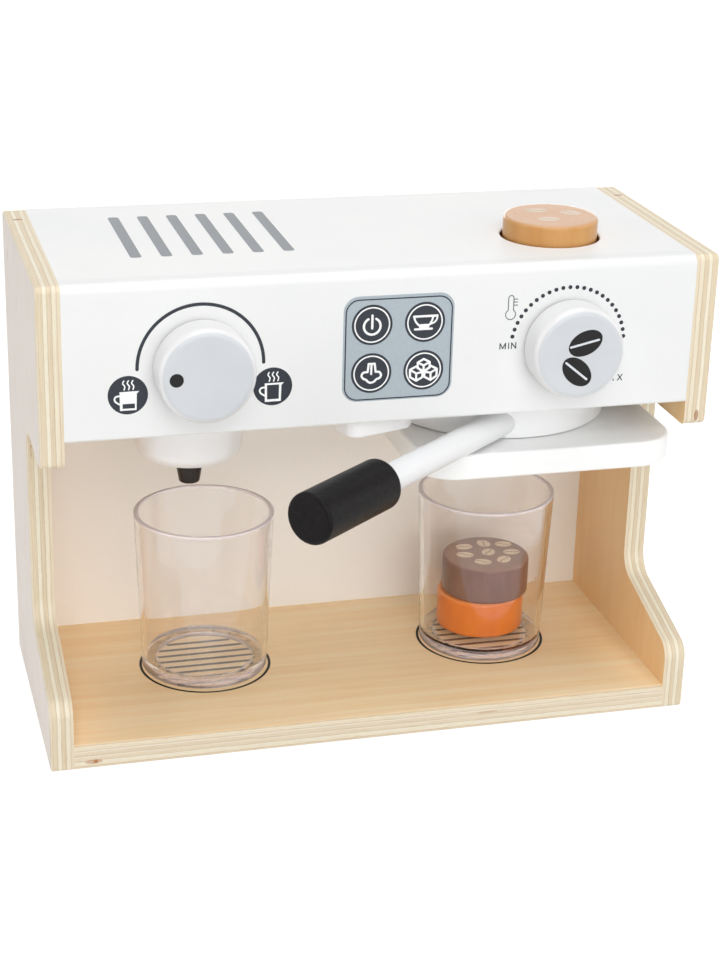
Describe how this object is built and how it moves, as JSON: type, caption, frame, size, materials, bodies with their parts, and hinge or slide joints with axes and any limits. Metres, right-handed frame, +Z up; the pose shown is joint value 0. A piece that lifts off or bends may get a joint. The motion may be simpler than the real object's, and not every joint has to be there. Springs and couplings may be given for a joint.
{
  "type": "toy coffee maker",
  "caption": "Wooden toy coffee maker with plywood sides, two turning dials, a swinging portafilter, a spout, clear cups and loose coffee tablets.",
  "frame": {"origin": "on the ground, in the middle of the case's footprint", "axes": "+X to the right seen from the front, +Y to the back, +Z up"},
  "size_m": [0.3, 0.2089, 0.2305],
  "materials": {
    "side_plywood": "clear-varnished birch plywood, outer face painted white",
    "base_plywood": "clear-varnished plywood with warm tan face veneer",
    "white_board": "board painted satin white",
    "back_board": "thin board painted off-white",
    "bare_wood": "unpainted inner wood",
    "white_turned": "turned wood painted satin white",
    "dial_face": "turned wood painted white with a light grey face",
    "grip_black": "turned wood painted matte black",
    "nozzle_black": "turned wood painted satin black",
    "felt": "pressed felt",
    "steel": "zinc-plated steel",
    "clear_plastic": "clear plastic with a faint lilac tint",
    "caramel": "wood painted caramel",
    "orange": "wood painted orange",
    "brown": "wood painted dark brown"
  },
  "bodies": {
    "case": {"side_panel_left": "side_plywood", "side_panel_right": "side_plywood", "base_board": "base_plywood", "back_panel": "back_board", "top_panel": "white_board", "front_panel": "white_board", "head_floor": "bare_wood", "floor_rails": "bare_wood", "corner_blocks": "bare_wood", "tablet_shelf": "bare_wood", "holder_plate": "white_board", "panel_dowels": "bare_wood", "spout_funnel": "white_turned", "spout_nozzle": "nozzle_black", "spout_screw": "steel", "handle_stop": "white_turned", "pivot_pin": "steel"},
    "portafilter": {"portafilter_drum": "white_turned", "portafilter_rod": "white_turned", "portafilter_grip": "grip_black"},
    "left_dial": {"dial_knob_left": "dial_face", "dial_axle_left": "bare_wood", "dial_washer_left": "felt", "dial_collar_left": "bare_wood", "dial_screw_left": "steel"},
    "right_dial": {"dial_knob_right": "dial_face", "dial_axle_right": "bare_wood", "dial_washer_right": "felt", "dial_collar_right": "bare_wood", "dial_screw_right": "steel"},
    "left_cup": {"cup_left": "clear_plastic"},
    "right_cup": {"cup_right": "clear_plastic"},
    "top_tablet": {"tablet_top": "caramel"},
    "low_tablet": {"tablet_low": "orange"},
    "high_tablet": {"tablet_high": "brown"}
  },
  "joints": [
    {"name": "portafilter_swing", "type": "hinge", "parent": "case", "child": "portafilter", "pos_m": [0.0704, 0.0049, 0.1445], "axis": [0, 0, 1], "range_deg": [-10, 60]},
    {"name": "left_dial_turn", "type": "hinge", "parent": "case", "child": "left_dial", "pos_m": [-0.0813, -0.0623, 0.1843], "axis": [0, -1, 0], "continuous": true},
    {"name": "right_dial_turn", "type": "hinge", "parent": "case", "child": "right_dial", "pos_m": [0.0813, -0.0623, 0.1843], "axis": [0, -1, 0], "continuous": true},
    {"name": "left_cup_out", "type": "slide", "parent": "case", "child": "left_cup", "axis": [0, -1, 0], "range_m": [0, 0.14]},
    {"name": "right_cup_out", "type": "slide", "parent": "case", "child": "right_cup", "axis": [0, -1, 0], "range_m": [0, 0.14]},
    {"name": "top_tablet_lift", "type": "slide", "parent": "case", "child": "top_tablet", "axis": [0, 0, 1], "range_m": [0, 0.03]},
    {"name": "low_tablet_lift", "type": "slide", "parent": "right_cup", "child": "low_tablet", "axis": [0, 0, 1], "range_m": [0, 0.011]},
    {"name": "high_tablet_lift", "type": "slide", "parent": "low_tablet", "child": "high_tablet", "axis": [0, 0, 1], "range_m": [0, 0.057]}
  ]
}
